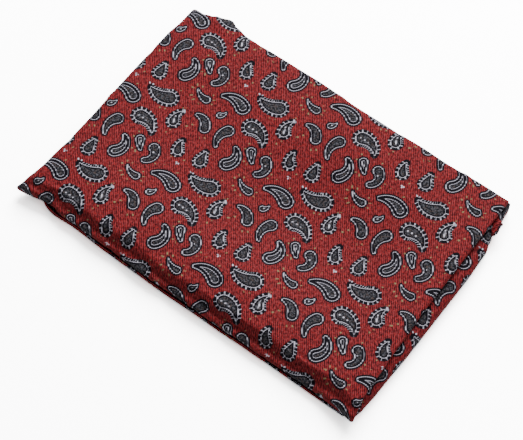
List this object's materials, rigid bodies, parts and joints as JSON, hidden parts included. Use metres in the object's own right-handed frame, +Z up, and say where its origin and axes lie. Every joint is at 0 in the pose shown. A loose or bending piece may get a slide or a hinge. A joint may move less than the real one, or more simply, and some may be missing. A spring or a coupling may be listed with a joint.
{
  "type": "folded pocket square",
  "caption": "Silk pocket square folded into a flat rectangle, with a rolled front fold, two drawn-out corners and a second fold showing at the right end.",
  "frame": {"origin": "on the table, at the middle of the box that holds the folded cloth", "axes": "+X along the long side towards the end where the second fold shows, -Y towards the rolled front fold, +Z up"},
  "size_m": [0.1676, 0.1142, 0.01],
  "materials": {
    "printed_twill": "silk twill printed with small paisleys, soft sheen",
    "rolled_hem": "rolled hem of the same silk, hand stitched",
    "twill_inside": "silk twill in the shade of the folds"
  },
  "bodies": {
    "root": {"top_panel": "printed_twill", "bottom_panel": "printed_twill", "right_fold": "printed_twill", "hem_corner": "rolled_hem", "inner_layers": "twill_inside"}
  },
  "joints": []
}
